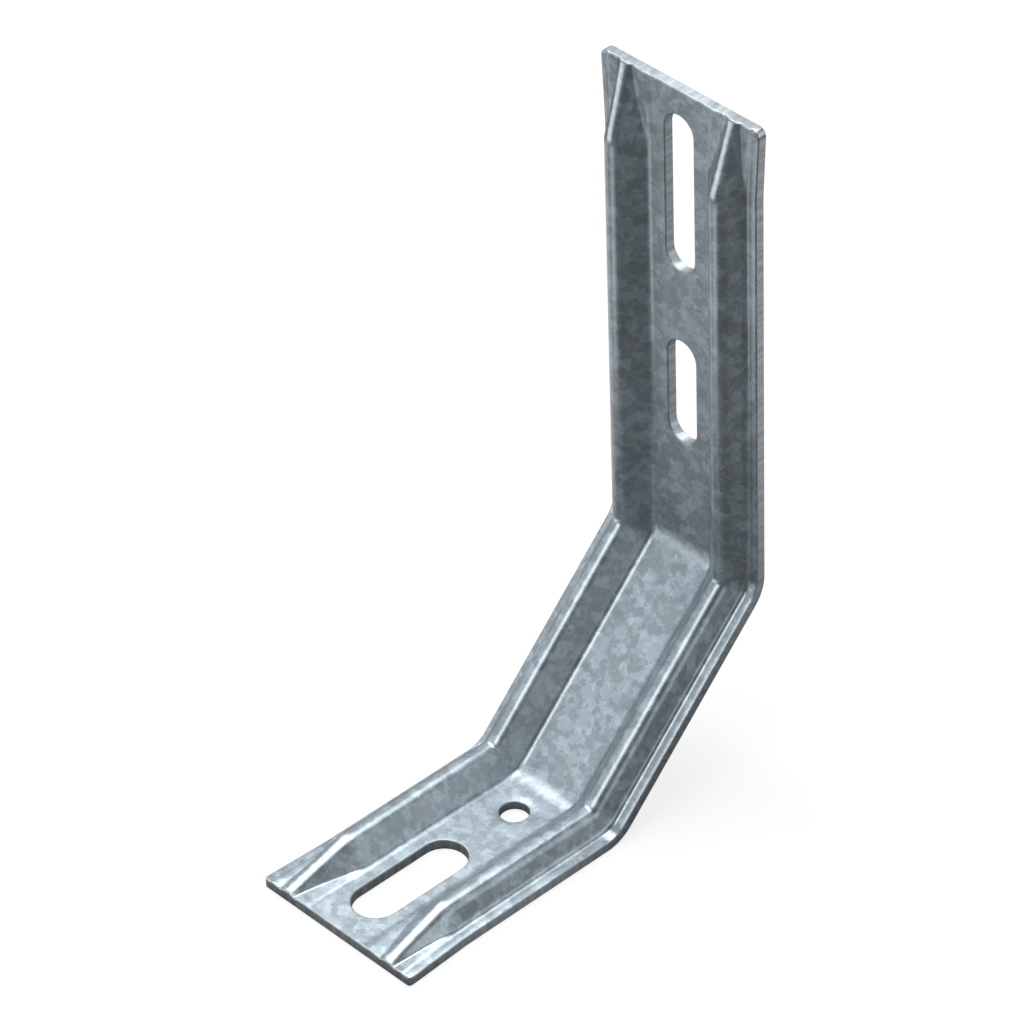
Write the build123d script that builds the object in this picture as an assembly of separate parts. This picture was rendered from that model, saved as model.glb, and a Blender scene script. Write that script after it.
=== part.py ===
from build123d import *
from math import asin, atan2, cos, degrees, hypot, radians, sin, tan
import os

# A window frame fixing bracket, pressed and folded from one strip of galvanised steel sheet.
# The foot lies flat and points to -Y, a brace climbs from it towards +Y, and a leg stands upright.
# Two hollow ribs are pressed up towards the inner side of both folds and stiffen all three.
# X runs across the strip. The origin is the middle of the foot's round hole, on its underside.
# All sizes are millimetres, all angles degrees.

# The sheet and how it is folded.
sheet = 2.0                  # thickness of the sheet
brace_slope = 45.0           # of the brace above the ground
brace_rise = 35.0            # between the outer corners of the two folds
crest_fold_radius = 1.4      # that the crests of the ribs keep inside each fold
corner_radius = 1.5          # of the four outer corners, seen flat

# Across the strip: a middle band, then on each side a rib and a narrow flange.
middle_band = 12.2           # width of the flat band between the ribs
rib_width = 10.0             # of each rib, from root to root
crest_from_flange = 4.15     # from a rib's outer root to the middle of its crest
flange_width = 1.3           # of the flat flange outside each rib
rib_height = 4.4             # of the crest above the flat sheet beside it
crest_radius = 2.3           # over the outside of the crest
inner_root_radius = 1.9      # where a rib meets the middle band
outer_root_radius = 1.2      # where a rib meets its flange
least_inside_radius = 0.3    # inside a crest, where the sheet is folded back on itself

# Where the ribs run out towards both ends of the strip.
run_out = 13.7               # length of the run-out
tip_length = 0.8             # in which the crest narrows to the run-out's ridge
ridge_radius = 2.0           # over that ridge, where it starts
edge_flare = 0.7             # how much further out each edge of the strip lies at the end
band_flare = 1.1             # and each edge of the middle band
bump_shift = 0.45            # and the middle of the ridge
bump_height = 0.2            # of what is left of each ridge at the end, above the middle band
bump_radius = 2.0            # over that small bump
bump_reach = 1.4             # half the width of its foot
bump_dip = 0.25              # of the bump's foot below the middle band
flange_at_end = 1.6          # width of the flange at the end
flange_dip = 0.1             # of the flange below the middle band at the end

# The punched holes, in the order in which they follow each other from the folds outwards.
hole_diameter = 5.2          # of the round hole in the foot
hole_from_fold = 8.6         # from the lower fold's outer corner to the hole's middle
foot_web = 9.8               # between the round hole and the foot's slot
foot_slot_length = 24.0      # of the foot's slot
foot_slot_width = 8.6        # of the foot's slot
leg_slots_above = 23.5       # from the upper fold's outer corner to the lower slot's end
lower_slot_length = 21.0     # of the leg's lower slot
leg_web = 14.5               # between the leg's two slots
upper_slot_length = 31.0     # of the leg's upper slot
leg_slot_width = 6.6         # of both slots in the leg
end_margin = 5.0             # between the last slot and the end, on the foot and on the leg
punched_edge_radius = 0.3    # where the punch has drawn the front face in
past = 1.0                   # how far the cutting tools reach beyond both faces
tiny = 0.001                 # how near a point counts as lying on a face

# Places across the strip, measured from its middle.
band = middle_band / 2
flange_start = band + rib_width
crest = flange_start - crest_from_flange
strip_edge = flange_start + flange_width

# Places along the foot and up the leg, measured from the round hole and from the ground.
lower_corner = hole_from_fold
foot_slot_end = -hole_diameter / 2 - foot_web
foot_slot_start = foot_slot_end - foot_slot_length
foot_end = foot_slot_start - end_margin
lower_slot_start = brace_rise + leg_slots_above
lower_slot_end = lower_slot_start + lower_slot_length
upper_slot_start = lower_slot_end + leg_web
upper_slot_end = upper_slot_start + upper_slot_length
leg_end = upper_slot_end + end_margin

# The folds: one radius about an axis above the crests, so that the crests bend and don't crush.
inside_radius = rib_height + crest_fold_radius
outside_radius = inside_radius + sheet
lower_setback = outside_radius * tan(radians(brace_slope) / 2)
upper_turn = 90 - brace_slope
upper_setback = outside_radius * tan(radians(upper_turn) / 2)
leg_back = lower_corner + brace_rise / tan(radians(brace_slope))
brace_length = brace_rise / sin(radians(brace_slope))


def flank_slope(reach, rise, fillets):
    """Slope of a flank that climbs this rise within this reach between two tangent fillets."""
    between = rise - fillets
    return degrees(atan2(between, reach) + asin(fillets / hypot(reach, between)))


def ribbed_half(level, rise, top_radius, edge):
    """Edges of one face from the middle band over a rib of this rise to the strip's edge.

    The level is the height above the back face: 0 for the back, the sheet's thickness for the
    front. The back keeps the sheet's thickness along the flanks and round the roots.
    """
    below_front = sheet - level
    inner = flank_slope(crest - band, rise, top_radius + inner_root_radius)
    outer = flank_slope(flange_start - crest, rise, top_radius + outer_root_radius)
    radius = max(top_radius - below_front, least_inside_radius)
    sunk = radius + below_front - top_radius
    down = (sin(radians(inner)) + sin(radians(outer))) / sin(radians(inner + outer))
    aside = (cos(radians(inner)) * down - 1) / sin(radians(inner))
    top_centre = (crest - sunk * aside, sheet + rise - top_radius - sunk * down)
    inner_centre = (band, sheet + inner_root_radius)
    outer_centre = (flange_start, sheet + outer_root_radius)
    inner_bend = CenterArc(inner_centre, inner_root_radius + below_front, -90, inner)
    top = CenterArc(top_centre, radius, 90 + inner, -inner - outer)
    outer_bend = CenterArc(outer_centre, outer_root_radius + below_front, -90 - outer, outer)
    return [
        inner_bend,
        Line(inner_bend @ 1, top @ 0),
        top,
        Line(top @ 1, outer_bend @ 0),
        outer_bend,
        Line(outer_bend @ 1, (edge, level)),
    ]


def rib(level):
    """Half of one face where the rib has its full section."""
    return ribbed_half(level, rib_height, crest_radius, strip_edge)


def ridge(level):
    """Half of one face where the rib has narrowed to the run-out's ridge."""
    done = tip_length / run_out
    rise = rib_height + (bump_height - rib_height) * done
    return ribbed_half(level, rise, ridge_radius, strip_edge + edge_flare * done)


def bump(level):
    """Half of one face at the strip's end, one edge for each edge of the rib.

    The front keeps a small bump where the ridge ran out, and the back is flat.
    """
    in_front = level / sheet
    foot = level - bump_dip * in_front
    flange = level - flange_dip * in_front
    middle = crest + bump_shift
    edge = strip_edge + edge_flare
    side = flank_slope(bump_reach, bump_height + bump_dip, bump_radius)
    half_top = bump_radius * sin(radians(side))
    top_side = level + (bump_height - bump_radius * (1 - cos(radians(side)))) * in_front
    left = (middle - half_top, top_side)
    right = (middle + half_top, top_side)
    top = ThreePointArc(left, (middle, level + bump_height), right) if in_front else Line(left, right)
    return [
        Line((band + band_flare, level), (middle - bump_reach, foot)),
        Line((middle - bump_reach, foot), left),
        top,
        Line(right, (middle + bump_reach, foot)),
        Line((middle + bump_reach, foot), (edge - flange_at_end, flange)),
        Line((edge - flange_at_end, flange), (edge, flange)),
    ]


def section(half):
    """The closed outline of the strip, from a function that gives half of one face's edges."""
    front = half(sheet)
    back = half(0)
    right = front + back + [Line(front[-1] @ 1, back[-1] @ 1)]
    left = [mirror(edge, about=Plane.YZ) for edge in right]
    across = [Line(mirror(face[0], about=Plane.YZ) @ 0, face[0] @ 0) for face in (front, back)]
    return make_face(right + left + across)


def station(slope, along_y, along_z):
    """Plane square to the strip where it climbs at this slope, with its back face at the point."""
    climb = radians(slope)
    return Plane(
        origin=(0, along_y, along_z),
        x_dir=(1, 0, 0),
        z_dir=(0, -cos(climb), -sin(climb)),
    )


def straight(slope, along_y, along_z, length):
    """A stretch of the ribbed strip that starts at the point and runs straight."""
    return extrude(station(slope, along_y, along_z) * section(rib), -length)


def fold(slope, along_y, along_z, turn):
    """A fold of the ribbed strip that starts at the point and turns towards its ribs."""
    climb = radians(slope)
    axis_y = along_y - outside_radius * sin(climb)
    axis_z = along_z + outside_radius * cos(climb)
    profile = station(slope, along_y, along_z) * section(rib)
    return revolve(profile, axis=Axis((0, axis_y, axis_z), (1, 0, 0)), revolution_arc=turn)


def ribs_run_out(slope, end_y, end_z, outwards):
    """The last stretch of the strip, up to its end at the point, where the ribs run out.

    Outwards is 1 where the strip climbs on to its end, and -1 where it starts from it.
    """
    along = Vector(0, cos(radians(slope)), sin(radians(slope))) * outwards
    end = Vector(0, end_y, end_z)
    start = end - along * run_out
    tip = start + along * tip_length
    return loft(
        [
            station(slope, start.Y, start.Z) * section(rib),
            station(slope, tip.Y, tip.Z) * section(ridge),
            station(slope, end.Y, end.Z) * section(bump),
        ],
        ruled=True,
    )


def folded_strip():
    """The whole strip as pressed and folded, from the foot's end to the leg's."""
    rib_starts_y = foot_end + run_out
    rib_ends_z = leg_end - run_out
    foot_straight_end = lower_corner - lower_setback
    brace_start_y = lower_corner + lower_setback * cos(radians(brace_slope))
    brace_start_z = lower_setback * sin(radians(brace_slope))
    brace_straight = brace_length - lower_setback - upper_setback
    brace_end_y = leg_back - upper_setback * cos(radians(brace_slope))
    brace_end_z = brace_rise - upper_setback * sin(radians(brace_slope))
    leg_start_z = brace_rise + upper_setback

    strip = ribs_run_out(0, foot_end, 0, -1)
    strip += straight(0, rib_starts_y, 0, foot_straight_end - rib_starts_y)
    strip += fold(0, foot_straight_end, 0, brace_slope)
    strip += straight(brace_slope, brace_start_y, brace_start_z, brace_straight)
    strip += fold(brace_slope, brace_end_y, brace_end_z, upper_turn)
    strip += straight(90, leg_back, leg_start_z, rib_ends_z - leg_start_z)
    strip += ribs_run_out(90, leg_back, leg_end, 1)
    return strip


def with_round_corners(strip):
    """The strip with the outer corners of its two ends rounded off."""
    foot_corners = strip.edges().filter_by(Axis.Z).group_by(Axis.Y)[0]
    leg_corners = strip.edges().filter_by(Axis.Y).group_by(Axis.Z)[-1]
    return fillet(foot_corners + leg_corners, corner_radius)


def punch(strip, middle, length, width):
    """The strip with a round-ended hole punched through it along the plane's X direction.

    The plane lies on the front face at the hole's middle, and the punch draws that rim in.
    """
    outline = Circle(width / 2) if length == width else SlotOverall(length, width)
    tool = extrude(middle * outline, past) + extrude(middle * outline, -sheet - past)
    cut = strip - tool

    def on_front_rim(edge):
        place = middle.to_local_coords(edge.center())
        inside = abs(place.X) <= length / 2 + tiny and abs(place.Y) <= width / 2 + tiny
        return inside and abs(place.Z) < tiny

    return fillet(cut.edges().filter_by(on_front_rim), punched_edge_radius)


def on_foot(along_y):
    """Plane on the foot's front face, its X direction along the strip."""
    return Plane(origin=(0, along_y, sheet), x_dir=(0, 1, 0), z_dir=(0, 0, 1))


def on_leg(along_z):
    """Plane on the leg's front face, its X direction along the strip."""
    return Plane(origin=(0, leg_back - sheet, along_z), x_dir=(0, 0, 1), z_dir=(0, -1, 0))


def bracket():
    """The folded strip with its corners, its round hole and its three slots."""
    foot_slot_middle = on_foot((foot_slot_start + foot_slot_end) / 2)
    lower_slot_middle = on_leg((lower_slot_start + lower_slot_end) / 2)
    upper_slot_middle = on_leg((upper_slot_start + upper_slot_end) / 2)
    body = with_round_corners(folded_strip())
    body = punch(body, on_foot(0), hole_diameter, hole_diameter)
    body = punch(body, foot_slot_middle, foot_slot_length, foot_slot_width)
    body = punch(body, lower_slot_middle, lower_slot_length, leg_slot_width)
    return punch(body, upper_slot_middle, upper_slot_length, leg_slot_width)


os.makedirs("parts", exist_ok=True)
export_step(bracket(), "parts/bracket.step")
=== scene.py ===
import math

import bmesh
import bpy
import numpy as np
from mathutils import Matrix, Vector


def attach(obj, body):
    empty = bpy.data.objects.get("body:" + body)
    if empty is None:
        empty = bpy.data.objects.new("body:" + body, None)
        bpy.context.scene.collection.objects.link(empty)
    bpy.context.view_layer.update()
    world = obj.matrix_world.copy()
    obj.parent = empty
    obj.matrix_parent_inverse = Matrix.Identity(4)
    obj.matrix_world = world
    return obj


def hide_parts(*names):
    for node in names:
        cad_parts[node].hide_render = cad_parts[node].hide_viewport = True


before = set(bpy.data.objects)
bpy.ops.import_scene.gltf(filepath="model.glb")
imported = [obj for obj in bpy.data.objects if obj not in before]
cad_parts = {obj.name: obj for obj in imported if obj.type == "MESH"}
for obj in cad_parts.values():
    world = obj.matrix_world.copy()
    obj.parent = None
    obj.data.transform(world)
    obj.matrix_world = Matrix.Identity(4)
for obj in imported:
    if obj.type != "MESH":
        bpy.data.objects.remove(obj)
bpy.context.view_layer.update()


# The strip. The bracket is one strip of steel sheet, pressed with two ribs, folded twice towards them and
# dipped in zinc. Its foot lies flat, its brace climbs and its leg stands upright. Sizes are millimetres,
# measured from the foot's round hole.
sheet = 2.0
foot_end = -41.4
lower_corner = 8.6
brace_slope = 45.0
brace_rise = 35.0
leg_end = 130.0
rib_height = 4.4
crest_fold_radius = 1.4      # of the ribs' crests, which lie inside the folds

outside_radius = rib_height + crest_fold_radius + sheet
fold_setback = outside_radius * math.tan(math.radians(brace_slope) / 2)
fold_length = outside_radius * math.radians(brace_slope)
brace_length = brace_rise / math.sin(math.radians(brace_slope)) - 2 * fold_setback

# Distances along the strip's back, from the foot's end.
foot_stops = lower_corner - fold_setback - foot_end
brace_starts = foot_stops + fold_length
brace_stops = brace_starts + brace_length
leg_starts = brace_stops + fold_length


def up_the_leg(height):
    """The distance along the strip's back at this height on the leg."""
    return leg_starts + height - brace_rise - fold_setback


strip_length = up_the_leg(leg_end)


def place(along, across, height):
    """The point of the folded strip at this distance along and across it, and above its back."""
    turned_low = min(max(along - foot_stops, 0), fold_length) / outside_radius
    turned_high = min(max(along - brace_stops, 0), fold_length) / outside_radius
    slope = math.radians(brace_slope)
    up_the_brace = min(max(along - brace_starts, 0), brace_length)
    y = foot_end + min(along, foot_stops)
    y += outside_radius * math.sin(turned_low) + up_the_brace * math.cos(slope)
    y += outside_radius * (math.sin(slope + turned_high) - math.sin(slope))
    z = outside_radius * (1 - math.cos(turned_low)) + up_the_brace * math.sin(slope)
    z += outside_radius * (math.cos(slope) - math.cos(slope + turned_high))
    z += max(along - leg_starts, 0)
    turned = turned_low + turned_high
    return across / 1000, (y - height * math.sin(turned)) / 1000, (z + height * math.cos(turned)) / 1000


# The ribs. Each is a hollow bead that the press raises out of the sheet between the middle band and a
# narrow flange, with a round crest, round roots and the sheet's thickness kept behind it.
middle_band = 12.2
rib_width = 10.0
crest_from_flange = 4.15
flange_width = 1.3
crest_radius = 2.3
inner_root_radius = 1.9
outer_root_radius = 1.2
least_inside_radius = 0.3

band = middle_band / 2
flange_start = band + rib_width
crest = flange_start - crest_from_flange
strip_edge = flange_start + flange_width

# How many facets each part of a rib's section has, from the middle band out to the strip's edge.
root_facets = 10
flank_facets = 5
crest_facets = 16
outer_flank_facets = 4
outer_root_facets = 8
flange_facets = 4


def bend(centre, radius, start, turn, steps):
    """Points along an arc, whose start and turn are degrees."""
    angles = np.radians(start + turn * np.linspace(0, 1, steps + 1))
    return np.stack([centre[0] + radius * np.cos(angles), centre[1] + radius * np.sin(angles)], 1)


def straight(start, end, steps):
    return np.linspace(start, end, steps + 1)


def joined(parts):
    """Lines of points as one line, each part starting where the one before it stops."""
    return np.concatenate([parts[0]] + [part[1:] for part in parts[1:]])


def flank_slope(reach, rise, fillets):
    """Slope of a flank that climbs this rise within this reach between two tangent fillets."""
    between = rise - fillets
    return math.degrees(math.atan2(between, reach) + math.asin(fillets / math.hypot(reach, between)))


def rib_section(level, rise, top_radius, edge):
    """Points of one face, from the middle band over a rib of this rise to the strip's edge.

    The level is the sheet's thickness for the front face and 0 for the back. The back's crest has a smaller
    radius round the same centre. Where that would be too small, its centre sinks between the flanks.
    """
    below_front = sheet - level
    inner = flank_slope(crest - band, rise, top_radius + inner_root_radius)
    outer = flank_slope(flange_start - crest, rise, top_radius + outer_root_radius)
    radius = max(top_radius - below_front, least_inside_radius)
    sunk = radius + below_front - top_radius
    inner_turn, outer_turn = math.radians(inner), math.radians(outer)
    down = (math.sin(inner_turn) + math.sin(outer_turn)) / math.sin(inner_turn + outer_turn)
    aside = (math.cos(inner_turn) * down - 1) / math.sin(inner_turn)
    top_centre = (crest - sunk * aside, sheet + rise - top_radius - sunk * down)
    root_centre = (band, sheet + inner_root_radius)
    outer_root_centre = (flange_start, sheet + outer_root_radius)
    root = bend(root_centre, inner_root_radius + below_front, -90, inner, root_facets)
    top = bend(top_centre, radius, 90 + inner, -inner - outer, crest_facets)
    last_radius = outer_root_radius + below_front
    outer_root = bend(outer_root_centre, last_radius, -90 - outer, outer, outer_root_facets)
    return joined([
        root,
        straight(root[-1], top[0], flank_facets),
        top,
        straight(top[-1], outer_root[0], outer_flank_facets),
        outer_root,
        straight(outer_root[-1], (edge, level), flange_facets),
    ])


# The run-outs. Before both ends the press lets each rib converge to a rounded ridge, which sinks to a small
# bump in the end face with a low facet on each side of it, while the strip's edges and the middle band
# flare out a little.
run_out = 13.7
tip_length = 0.8             # in which the full crest turns into the ridge
ridge_radius = 2.2
edge_flare = 0.7
band_flare = 1.1
bump_shift = 0.45
bump_height = 0.2
bump_radius = 2.6
bump_reach = 1.6
bump_dip = 0.25
flange_at_end = 1.6
flange_dip = 0.1
root_at_end = 0.9            # what is left of each root beside the low facet
root_rise_at_end = 0.1
press_softness = 0.5         # how far the press rounds the creases, along the strip
softening_samples = 9
least_weight = 0.001


def facet(start, end, steps):
    """A low facet that sinks towards the bump's foot."""
    share = np.linspace(0, 1, steps + 1)
    return np.stack([start[0] + (end[0] - start[0]) * share, start[1] + (end[1] - start[1]) * share ** 2], 1)


def end_section(level):
    """Points of one face at the strip's end, where only a small bump is left of each rib."""
    in_front = level / sheet
    foot = level - bump_dip * in_front
    flange = level - flange_dip * in_front
    inner_root = band + band_flare
    middle = crest + bump_shift
    edge = strip_edge + edge_flare
    outer_root = edge - flange_at_end
    side = flank_slope(bump_reach, bump_height + bump_dip, bump_radius)
    half_top = bump_radius * math.sin(math.radians(side))
    drop = bump_radius * (1 - math.cos(math.radians(side)))
    top = bend((middle, 0), bump_radius, 90 + side, -2 * side, crest_facets)
    top[:, 1] = level + (bump_height - bump_radius + top[:, 1]) * in_front
    top_side = level + (bump_height - drop) * in_front
    inner_shoulder = (inner_root + root_at_end / 2, level + root_rise_at_end * in_front)
    outer_shoulder = (outer_root - root_at_end / 2, flange + root_rise_at_end * in_front)
    return joined([
        straight((inner_root - root_at_end / 2, level), inner_shoulder, root_facets // 2),
        facet(inner_shoulder, (middle - bump_reach, foot), root_facets // 2),
        straight((middle - bump_reach, foot), (middle - half_top, top_side), flank_facets),
        top,
        straight((middle + half_top, top_side), (middle + bump_reach, foot), outer_flank_facets),
        facet(outer_shoulder, (middle + bump_reach, foot), outer_root_facets // 2)[::-1],
        straight(outer_shoulder, (outer_root, flange), outer_root_facets // 2),
        straight((outer_root, flange), (edge, flange), flange_facets),
    ])


tip_share = tip_length / run_out
ridge_rise = rib_height + (bump_height - rib_height) * tip_share
ridge_edge = strip_edge + edge_flare * tip_share
full_rib = {level: rib_section(level, rib_height, crest_radius, strip_edge) for level in (0, sheet)}
ridge = {level: rib_section(level, ridge_rise, ridge_radius, ridge_edge) for level in (0, sheet)}
bump = {level: end_section(level) for level in (0, sheet)}


def pressed(level, to_end):
    """One face's section at this distance from the strip's end, before the creases are softened."""
    if to_end >= run_out:
        return full_rib[level]
    done = run_out - to_end
    if done < tip_length:
        return full_rib[level] + (ridge[level] - full_rib[level]) * done / tip_length
    return ridge[level] + (bump[level] - ridge[level]) * (done - tip_length) / (run_out - tip_length)


def section(level, to_end):
    """One face's section at this distance from the strip's end, its creases softened by the press."""
    softness = min(press_softness, to_end)
    steps = np.linspace(-1, 1, softening_samples)
    weights = 1 + least_weight - np.abs(steps)
    parts = [pressed(level, to_end + softness * step) * weight for step, weight in zip(steps, weights)]
    return sum(parts) / weights.sum()


# The holes: a slot and a round hole in the foot and two slots in the leg, all punched from the front
# before the sheet is folded. The leg's slots are given by the height of their middle.
foot_slot_place = -24.4
foot_slot_length = 24.0
foot_slot_width = 8.6
round_hole_width = 5.2
lower_slot_height = 69.0
lower_slot_length = 21.0
upper_slot_height = 109.5
upper_slot_length = 31.0
leg_slot_width = 6.6

# For each hole: its middle along the strip, its length and its width.
holes = [
    (foot_slot_place - foot_end, foot_slot_length, foot_slot_width),
    (-foot_end, round_hole_width, round_hole_width),
    (up_the_leg(lower_slot_height), lower_slot_length, leg_slot_width),
    (up_the_leg(upper_slot_height), upper_slot_length, leg_slot_width),
]

# The mesh's rows leave a patch free round each hole, with this room before and after the hole.
wide_room = 3.0
narrow_room = 2.4            # at the round hole and beside the strip's ends
patch_rooms = [
    (narrow_room, wide_room),
    (narrow_room, narrow_room),
    (wide_room, wide_room),
    (wide_room, narrow_room),
]
hole_patches = [
    (middle - length / 2 - before, middle + length / 2 + after)
    for (middle, length, width), (before, after) in zip(holes, patch_rooms)
]
round_hole_patch = hole_patches[1]

# The sheet's two faces, as rows of points along the strip and columns across it. The shears have left the
# foot's corners sharper than the leg's, and the first and last rows follow them.
corner_radius = 1.5
foot_corner_radius = 0.7
widest = 18.02               # half the strip's width where it stops flaring out
flange_lean = 0.12           # how far the shears have drawn the flange's outer edge down
front_edge_radius = 0.28     # left by the shears and the zinc on the strip's edges
back_edge_radius = 0.14
row_length = 0.8
round_hole_row_length = 0.6
fold_facets = 18
corner_facets = 8
band_facets = 16
same_place = 1e-6            # distances along the strip that differ by less are one

stops = [foot_corner_radius, foot_stops, brace_starts, brace_stops, leg_starts, strip_length - corner_radius]
stops = sorted(stops + [stop for patch in hole_patches for stop in patch])
rows = [("start corner", angle) for angle in np.linspace(0, 90, corner_facets + 1)[:-1]]
for first, last in zip(stops[:-1], stops[1:]):
    if first in (foot_stops, brace_stops):
        count = fold_facets
    else:
        longest = round_hole_row_length if first == round_hole_patch[0] else row_length
        count = math.ceil((last - first) / longest)
    rows += [("plain", first + (last - first) * step / count) for step in range(count)]
rows.append(("plain", stops[-1]))
rows += [("end corner", angle) for angle in np.linspace(90, 0, corner_facets + 1)[1:]]
last_row = len(rows) - 1


def row_points(level, row, inset, drop):
    """The points of one row of one face, with the outline drawn in and the face lowered by these."""
    kind, value = row
    rounding = foot_corner_radius if kind == "start corner" else corner_radius
    if kind == "plain":
        along = value
        to_end = min(along, strip_length - along)
        reach = rounding - inset
    else:
        to_end = rounding - (rounding - inset) * math.cos(math.radians(value))
        along = to_end if kind == "start corner" else strip_length - to_end
        reach = (rounding - inset) * math.sin(math.radians(value))
    half = section(level, to_end).copy()
    flange = half[-flange_facets - 1]
    outermost = (min(half[-1][0], widest) - rounding + reach, half[-1][1])
    half[-flange_facets - 1:] = straight(flange, outermost, flange_facets)
    half[-flange_facets - 1:, 1] -= flange_lean * level / sheet * np.linspace(0, 1, flange_facets + 1) ** 2
    inner = straight((0, half[0][1]), half[0], band_facets // 2)[:-1]
    right = np.concatenate([inner, half])
    left = right[:0:-1] * (-1, 1)
    return along, [(x, height + drop) for x, height in np.concatenate([left, right])]


columns = 2 * (band_facets // 2 + len(full_rib[0]) - 1) + 1
centre_column = columns // 2
points = []
faces = []


def add(point):
    points.append(point)
    return len(points) - 1


def add_row(level, row, inset, drop, wanted=None):
    """One row as new points, or only its wanted columns, with None in the others' places."""
    along, made = row_points(level, row, inset, drop)
    kept = range(columns) if wanted is None else wanted
    return [add(place(along, x, h)) if i in kept else None for i, (x, h) in enumerate(made)]


def in_patch(row_number, column):
    """True where the rows leave room for the rings round a hole."""
    kind, value = rows[row_number]
    if kind != "plain" or abs(column + 0.5 - centre_column) > band_facets / 2:
        return False
    return any(first - same_place <= value < last - same_place for first, last in hole_patches)


front_grid = [add_row(sheet, row, front_edge_radius, 0) for row in rows]
back_grid = [add_row(0, row, back_edge_radius, 0) for row in rows]
for grid in (front_grid, back_grid):
    for r in range(last_row):
        for c in range(columns - 1):
            if not in_patch(r, c):
                faces.append((grid[r][c], grid[r][c + 1], grid[r + 1][c + 1], grid[r + 1][c]))

# The sheared edge, once round the strip: a rounded rim in front, the bare cut face and a rounded rim
# behind. How far round the cut each point lies is kept for the streaks.
edge_steps = 4
cut_runs = {}                # of each point that bounds a cut face, how far round the cut it lies

outline = [(0, c) for c in range(columns)] + [(r, columns - 1) for r in range(1, last_row + 1)]
outline += [(last_row, c) for c in range(columns - 2, -1, -1)] + [(r, 0) for r in range(last_row - 1, 0, -1)]


def outline_at(level, inset, drop):
    """The strip's outline, drawn in and lowered by these, as new points."""
    made = {}
    for r in range(last_row + 1):
        wanted = None if r in (0, last_row) else (0, columns - 1)
        made[r] = add_row(level, rows[r], inset, drop, wanted)
    return [made[r][c] for r, c in outline]


def mark_cut(front_loop, back_loop):
    """Notes that the points of these two loops, one above the other, bound a cut face."""
    run = 0.0
    for before, front, back in zip(front_loop[:1] + front_loop[:-1], front_loop, back_loop):
        run += math.dist(points[before], points[front])
        cut_runs[front] = run
        cut_runs[back] = run


def bridge(loops):
    """Quads between each closed line of points and the next."""
    for first, second in zip(loops[:-1], loops[1:]):
        first, second = first + first[:1], second + second[:1]
        for i in range(len(first) - 1):
            faces.append((first[i], first[i + 1], second[i + 1], second[i]))


loops = [[front_grid[r][c] for r, c in outline]]
for step in range(1, edge_steps + 1):
    turned = math.radians(90 * step / edge_steps)
    inset, drop = front_edge_radius * (1 - math.sin(turned)), -front_edge_radius * (1 - math.cos(turned))
    loops.append(outline_at(sheet, inset, drop))
for step in range(edge_steps, 0, -1):
    turned = math.radians(90 * step / edge_steps)
    inset, drop = back_edge_radius * (1 - math.sin(turned)), back_edge_radius * (1 - math.cos(turned))
    loops.append(outline_at(0, inset, drop))
loops.append([back_grid[r][c] for r, c in outline])
mark_cut(loops[edge_steps], loops[edge_steps + 1])
bridge(loops)

# The holes' rims and walls: the punch has drawn each front rim in, sheared the wall, and left the back rim
# nearly sharp. The sheet has sunk a little round the round hole.
roll_over = 0.3
burr_side_radius = 0.1
round_hole_dish = 0.25
ring_shares = (0.72, 0.46, 0.24, 0.08)       # from the patch's border in to the rim
rim_steps = 5
burr_side_steps = 3

left_column = centre_column - band_facets // 2
right_column = centre_column + band_facets // 2


def punch(middle, length, width, first, last):
    """The rings of one hole: from its patch's border in to the rim, down the wall and out again behind."""
    half_core = (length - width) / 2
    hole_radius = width / 2
    dish = round_hole_dish if length == width else 0
    inside = [
        r for r, (kind, value) in enumerate(rows)
        if kind == "plain" and first - same_place <= value <= last + same_place
    ]
    border = [(inside[0], c) for c in range(left_column, right_column + 1)]
    border += [(r, right_column) for r in inside[1:]]
    border += [(inside[-1], c) for c in range(right_column - 1, left_column - 1, -1)]
    border += [(r, left_column) for r in inside[-2:0:-1]]

    def ring(level, height, radius, share):
        """A ring round the hole at this height, this share of the way out to the border."""
        made = []
        for row, column in border:
            along, line = row_points(level, rows[row], 0, 0)
            x, s = line[column][0], along - middle
            core = min(max(s, -half_core), half_core)
            away = math.hypot(x, s - core)
            rim_x, rim_s = x / away * radius, core + (s - core) / away * radius
            at_x, at_s = rim_x + (x - rim_x) * share, rim_s + (s - rim_s) * share
            made.append(add(place(middle + at_s, at_x, height)))
        return made

    rings = [[front_grid[r][c] for r, c in border]]
    for share in ring_shares:
        rings.append(ring(sheet, sheet - dish * (1 - share) ** 3, hole_radius + roll_over, share))
    for step in range(rim_steps + 1):
        turned = math.radians(90 * step / rim_steps)
        out, drop = roll_over * (1 - math.sin(turned)), roll_over * (1 - math.cos(turned))
        rings.append(ring(sheet, sheet - dish - drop, hole_radius + out, 0))
    for step in range(burr_side_steps, -1, -1):
        turned = math.radians(90 * step / burr_side_steps)
        out, rise = burr_side_radius * (1 - math.sin(turned)), burr_side_radius * (1 - math.cos(turned))
        rings.append(ring(0, rise, hole_radius + out, 0))
        if step == burr_side_steps:
            mark_cut(rings[-2], rings[-1])
    for share in ring_shares[::-1]:
        rings.append(ring(0, 0, hole_radius + burr_side_radius, share))
    rings.append([back_grid[r][c] for r, c in border])
    bridge(rings)


for hole, patch in zip(holes, hole_patches):
    punch(*hole, *patch)

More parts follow.
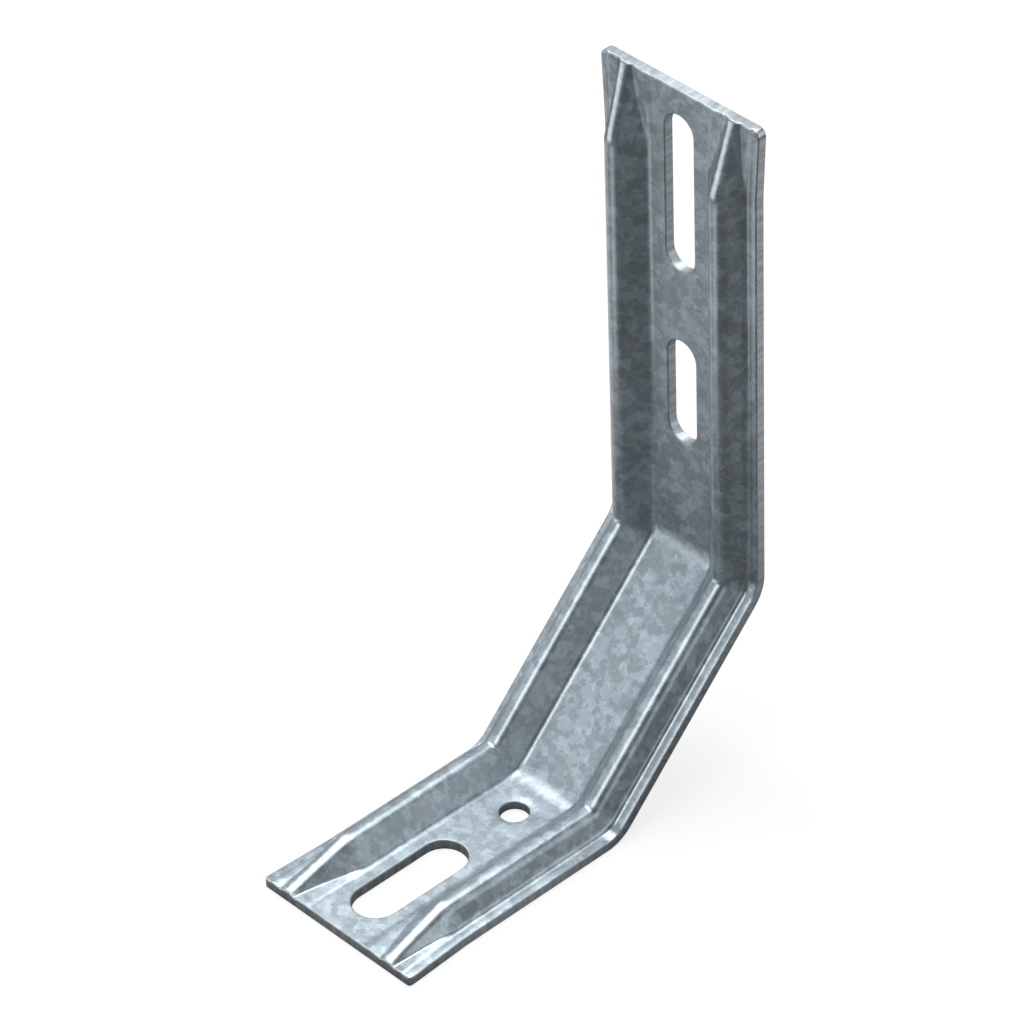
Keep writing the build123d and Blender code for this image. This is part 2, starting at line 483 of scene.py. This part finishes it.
# The whole bracket as one closed mesh. Two of its attributes tell the zinc where the cut faces are and
# how far round the cut each point lies, in metres.
strip_mesh = bpy.data.meshes.new("galvanised_bracket")
strip_mesh.from_pydata(points, [], faces)
for name, values in (
    ("cut_face", [float(i in cut_runs) for i in range(len(points))]),
    ("round_the_cut", [cut_runs.get(i, 0.0) for i in range(len(points))]),
):
    strip_mesh.attributes.new(name, "FLOAT", "POINT").data.foreach_set("value", values)
welded = bmesh.new()
welded.from_mesh(strip_mesh)
bmesh.ops.remove_doubles(welded, verts=welded.verts, dist=1e-7)
loose = [vertex for vertex in welded.verts if not vertex.link_faces]
bmesh.ops.delete(welded, geom=loose, context="VERTS")
bmesh.ops.recalc_face_normals(welded, faces=welded.faces)
for face in welded.faces:
    face.smooth = True
welded.to_mesh(strip_mesh)
welded.free()
bracket = bpy.data.objects.new("galvanised_bracket", strip_mesh)
bpy.context.collection.objects.link(bracket)
weighted = bracket.modifiers.new("flat faces stay flat", "WEIGHTED_NORMAL")
weighted.weight = 60
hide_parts("bracket")
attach(bracket, "root")


class Link:
    """A socket of a material's nodes that can be written into sums."""

    def __init__(self, tree, socket=None):
        self.tree = tree
        self.socket = socket

    def node(self, kind, settings=None, inputs=None, output=0):
        """A new node of this type, its settings made first, then its sockets given values or links."""
        made = self.tree.nodes.new(kind)
        for name, value in (settings or {}).items():
            setattr(made, name, value)
        for name, value in (inputs or {}).items():
            if isinstance(value, Link):
                self.tree.links.new(value.socket, made.inputs[name])
            else:
                made.inputs[name].default_value = value
        return Link(self.tree, made.outputs[output])

    def feed(self, socket):
        self.tree.links.new(self.socket, socket)

    def maths(self, operation, *values):
        return self.node("ShaderNodeMath", {"operation": operation}, dict(enumerate(values)))

    def __add__(self, other):
        return self.maths("ADD", self, other)

    __radd__ = __add__

    def __sub__(self, other):
        return self.maths("SUBTRACT", self, other)

    def __rsub__(self, other):
        return self.maths("SUBTRACT", other, self)

    def __mul__(self, other):
        return self.maths("MULTIPLY", self, other)

    __rmul__ = __mul__

    def between(self, low, high):
        """0 below low, 1 above high and a smooth step between them."""
        settings = {"interpolation_type": "SMOOTHSTEP"}
        return self.node("ShaderNodeMapRange", settings, {"Value": self, "From Min": low, "From Max": high})

    def blend(self, low_colour, high_colour):
        """A colour between these two, by this value."""
        inputs = {0: self, 6: low_colour, 7: high_colour}
        return self.node("ShaderNodeMix", {"data_type": "RGBA"}, inputs, output=2)

    def vector(self, operation, inputs, output=0):
        return self.node("ShaderNodeVectorMath", {"operation": operation}, inputs, output)

    def moved(self, offset, amount):
        """This position, moved by an offset colour of which 0.5 is none, times the amount."""
        centred = self.vector("SUBTRACT", {0: offset, 1: (0.5, 0.5, 0.5)})
        return self.vector("ADD", {0: self, 1: self.vector("SCALE", {0: centred, "Scale": amount})})


# The zinc: crystals of two sizes with ragged outlines and light rims, each with its own tone, over a soft
# mottle and a fine grain. It is dull where it has set freely and smoother where the press has rubbed it.
dark_zinc = (0.206, 0.241, 0.263, 1)
light_zinc = (0.372, 0.434, 0.477, 1)
warm_zinc = (0.28, 0.3, 0.312, 1)
warm_share = 0.3
coarse_crystals = 540.0      # crystals to a metre
fine_crystals = 1150.0
coarse_raggedness = 0.0016   # metres by which the full swing of the noise moves their outlines
fine_raggedness = 0.0010

zinc = bpy.data.materials.new("spangled_zinc")
zinc.use_nodes = True
shader = zinc.node_tree.nodes["Principled BSDF"]
dip = Link(zinc.node_tree)
where = dip.node("ShaderNodeTexCoord", output=3)
ragged_noise = {"Vector": where, "Scale": 1100.0, "Detail": 3.0, "Roughness": 0.65}
ragged = dip.node("ShaderNodeTexNoise", {}, ragged_noise, 1)
coarse_cells = {"Vector": where.moved(ragged, coarse_raggedness), "Scale": coarse_crystals}
fine_cells = {"Vector": where.moved(ragged, fine_raggedness), "Scale": fine_crystals}
coarse = dip.node("ShaderNodeTexVoronoi", {}, coarse_cells, 1)
fine = dip.node("ShaderNodeTexVoronoi", {}, fine_cells, 1)
coarse_tone = dip.node("ShaderNodeSeparateColor", {}, {"Color": coarse})
coarse_hue = dip.node("ShaderNodeSeparateColor", {}, {"Color": coarse}, 1)
fine_tone = dip.node("ShaderNodeSeparateColor", {}, {"Color": fine})
to_rim = dip.node("ShaderNodeTexVoronoi", {"feature": "DISTANCE_TO_EDGE"}, coarse_cells)
rims = 1 - to_rim.between(0.02, 0.11)
mottle_noise = {"Vector": where, "Scale": 160.0, "Detail": 4.0, "Roughness": 0.6}
mottle = dip.node("ShaderNodeTexNoise", {}, mottle_noise)
grain = dip.node("ShaderNodeTexNoise", {}, {"Vector": where, "Scale": 3500.0, "Detail": 2.0})
crystals = coarse_tone.between(0.45, 0.8) * 0.3 + fine_tone.between(0.55, 0.9) * 0.22 + rims * 0.1
tone = crystals + mottle * 0.75 - 0.13 + (grain - 0.5) * 0.16
colour = tone.between(0.05, 1.0).blend(dark_zinc, light_zinc)
colour = (coarse_hue.between(0.6, 0.9) * warm_share).blend(colour, warm_zinc)

# The press has rubbed the roots and crests of the ribs smooth, and their flanks less. Distances are metres
# from the strip's middle line.
sides = dip.node("ShaderNodeSeparateXYZ", {}, {"Vector": where})
off_middle = sides.maths("ABSOLUTE", sides)
on_a_flank = off_middle.between(0.0069, 0.0082) - off_middle.between(0.0099, 0.0111)
rubbed = off_middle.between(0.0058, 0.0066) - on_a_flank * 0.8
roughness = 0.4 + tone * 0.1 - rubbed * 0.13

# The cut faces are bare steel with a smear of zinc, streaked by the shears and the punch.
sheared_dark = (0.33, 0.355, 0.37, 1)
sheared_light = (0.48, 0.52, 0.55, 1)
cut_face = dip.node("ShaderNodeAttribute", {"attribute_name": "cut_face"}, output=2)
round_the_cut = dip.node("ShaderNodeAttribute", {"attribute_name": "round_the_cut"}, output=2)
streak_noise = {"W": round_the_cut, "Scale": 800.0, "Detail": 4.0}
streaks = dip.node("ShaderNodeTexNoise", {"noise_dimensions": "1D"}, streak_noise)
is_cut = cut_face.between(0.5, 1.0)
colour = is_cut.blend(colour, streaks.between(0.25, 0.75).blend(sheared_dark, sheared_light))
metal = 0.8 + is_cut * 0.17
relief = dip.node("ShaderNodeBump", {}, {"Strength": 0.12, "Distance": 0.0001, "Height": tone + grain * 0.4})
colour.feed(shader.inputs["Base Color"])
roughness.feed(shader.inputs["Roughness"])
metal.feed(shader.inputs["Metallic"])
relief.feed(shader.inputs["Normal"])
bracket.data.materials.append(zinc)


# The floor is a plain pale sheet under the foot. The camera sees it white. What the metal mirrors of it
# is dark but for six glowing patches, painted reflections that only mirrored rays see, each laid where the
# faces named beside it mirror the floor. Sizes are metres from here on.
floor_size = 12.0
floor_gap = 0.00002
floor_grey = (0.12, 0.12, 0.12, 1)
floor_glow = 0.82

floor_mesh = bpy.data.meshes.new("floor")
floor_corners = [(x * floor_size, y * floor_size, 0) for x, y in ((-1, -1), (1, -1), (1, 1), (-1, 1))]
floor_mesh.from_pydata(floor_corners, [], [(0, 1, 2, 3)])
floor = bpy.data.objects.new("floor", floor_mesh)
bpy.context.collection.objects.link(floor)
floor.location.z = -floor_gap
pale = bpy.data.materials.new("pale_floor")
pale.use_nodes = True
floor_shader = pale.node_tree.nodes["Principled BSDF"]
floor_shader.inputs["Base Color"].default_value = floor_grey
floor_shader.inputs["Roughness"].default_value = 1.0
floor_shader.inputs["Specular IOR Level"].default_value = 0.0
seen = Link(pale.node_tree)
camera_ray = seen.node("ShaderNodeLightPath", output=0)
glossy_ray = seen.node("ShaderNodeLightPath", output=3)
through_ray = seen.node("ShaderNodeLightPath", output=6)
mirrored = seen.maths("MAXIMUM", glossy_ray, through_ray)
on_the_floor = seen.node("ShaderNodeTexCoord", output=3)


def painted_reflection_patch(middle, full, none):
    """A glowing part of the floor, a painted reflection that only metal mirrors, from its middle out to
    where it has faded.
    """
    from_middle = seen.vector("SUBTRACT", {0: on_the_floor, 1: (*middle, 0)})
    return 1 - seen.vector("LENGTH", {0: from_middle}, 1).between(full, none)


# Painted reflections: these patches glow for mirrored rays only and put light onto the faces named beside
# them.
painted_reflections = painted_reflection_patch((-0.15, 0.02), 0.05, 0.13)                      # for the leg's middle band and crests
painted_reflections = painted_reflections + painted_reflection_patch((-0.03, -0.12), 0.035, 0.073) * 1.2     # for the roots and flanges high on the leg
painted_reflections = painted_reflections + painted_reflection_patch((-0.055, -0.085), 0.025, 0.052) * 0.8   # for the same lower down
painted_reflections = painted_reflections + painted_reflection_patch((-0.38, -0.32), 0.1, 0.22)              # for the run-outs
painted_reflections = painted_reflections + painted_reflection_patch((0.03, -0.015), 0.012, 0.03) * 0.2      # for the foot's cut edge
painted_reflections = painted_reflections + painted_reflection_patch((0.12, 0.15), 0.06, 0.13) * 0.5         # for the leg's cut edge
shown = seen.maths("MAXIMUM", camera_ray, mirrored * painted_reflections)
glow = seen.node("ShaderNodeEmission", {}, {"Color": (1, 1, 1, 1), "Strength": shown * floor_glow})
lit = Link(pale.node_tree, floor_shader.outputs[0])
lit_and_glowing = seen.node("ShaderNodeAddShader", {}, {0: lit, 1: glow})
lit_and_glowing.feed(pale.node_tree.nodes["Material Output"].inputs["Surface"])
floor.data.materials.append(pale)


# The room round the bracket is nearly dark. Four large soft panels of light hang in it for the zinc to
# mirror: one for the foot, one for the brace, and one for the near flank of the ribs on each.
room_colour = (0.93, 0.97, 1.0, 1)
room_level = 0.06

room = bpy.data.worlds.new("room")
room.use_nodes = True
bpy.context.scene.world = room
backdrop = room.node_tree.nodes["Background"]
air = Link(room.node_tree)
towards = air.node("ShaderNodeTexCoord", output=0)


def panel(direction, strength, fades_at=0.55):
    """A soft panel of light in this direction, gone where the cosine of the angle off it is fades_at."""
    facing = air.vector("DOT_PRODUCT", {0: towards, 1: Vector(direction).normalized()}, 1)
    return facing.between(fades_at, 1.0) * strength


panels = panel((-0.58, 0.53, 0.62), 0.95) + panel((-0.66, -0.58, 0.48), 1.05)
panels = panels + panel((0.81, 0.53, 0.27), 1.3, 0.75) + panel((0.98, -0.14, 0.06), 1.2, 0.8)
(panels + room_level).feed(backdrop.inputs["Strength"])
backdrop.inputs["Color"].default_value = room_colour

# Four softboxes, turned towards a point in the bracket's inner corner. The low one is small and stands
# close, for the run-outs of the leg.
aim = Vector((0.0, 0.01, 0.05))
low_softbox_height = 0.045


def softbox(name, direction, distance, width, height, power):
    """A rectangular softbox in this direction from the aim, turned towards it."""
    lamp = bpy.data.lights.new(name, "AREA")
    lamp.shape = "RECTANGLE"
    lamp.size = width
    lamp.size_y = height
    lamp.energy = power
    held = bpy.data.objects.new(name, lamp)
    bpy.context.collection.objects.link(held)
    direction = Vector(direction).normalized()
    held.location = aim + direction * distance
    held.rotation_euler = direction.to_track_quat("Z", "Y").to_euler()
    return held


softbox("front_softbox", (0.06, -0.735, 0.66), 1.4, 0.6, 0.8, 6.5)
softbox("top_softbox", (-0.05, 0.3, 0.95), 1.5, 1.0, 0.6, 14.0)
softbox("left_softbox", (-0.35, 0.05, 0.92), 1.5, 0.33, 1.7, 15.0)
low_softbox = softbox("low_softbox", (-0.64, -0.76, -0.01), 0.42, 0.34, 0.08, 0.36)
low_softbox.location.z = low_softbox_height
low_softbox.visible_camera = False


# The camera stands to the front right, well above the bracket, with a long lens and a slight roll. It
# looks at a point above the brace, moved by these distances across and up the picture.
azimuth, elevation, roll = math.radians(47.55), math.radians(38.12), math.radians(-2.11)
distance = 0.973
focal_pixels = 5787.0
picture_pixels = 1024
above_the_brace = Vector((0, 0.0236, 0.05))
across_picture, up_picture = -0.01604, 0.00286

level_back = math.cos(elevation)
back = Vector((math.sin(azimuth) * level_back, -math.cos(azimuth) * level_back, math.sin(elevation)))
right = Vector((math.cos(azimuth), math.sin(azimuth), 0))
up = back.cross(right)
rolled_right = math.cos(roll) * right + math.sin(roll) * up
rolled_up = -math.sin(roll) * right + math.cos(roll) * up
looked_at = above_the_brace + across_picture * rolled_right + up_picture * rolled_up
lens = bpy.data.cameras.new("camera")
lens.sensor_width = 36.0
lens.lens = focal_pixels / picture_pixels * lens.sensor_width
lens.clip_start = 0.01
camera = bpy.data.objects.new("camera", lens)
bpy.context.collection.objects.link(camera)
axes = Matrix((rolled_right, rolled_up, back)).transposed().to_4x4()
camera.matrix_world = Matrix.Translation(looked_at + back * distance) @ axes
bpy.context.scene.camera = camera
bpy.context.scene.view_settings.view_transform = "Standard"
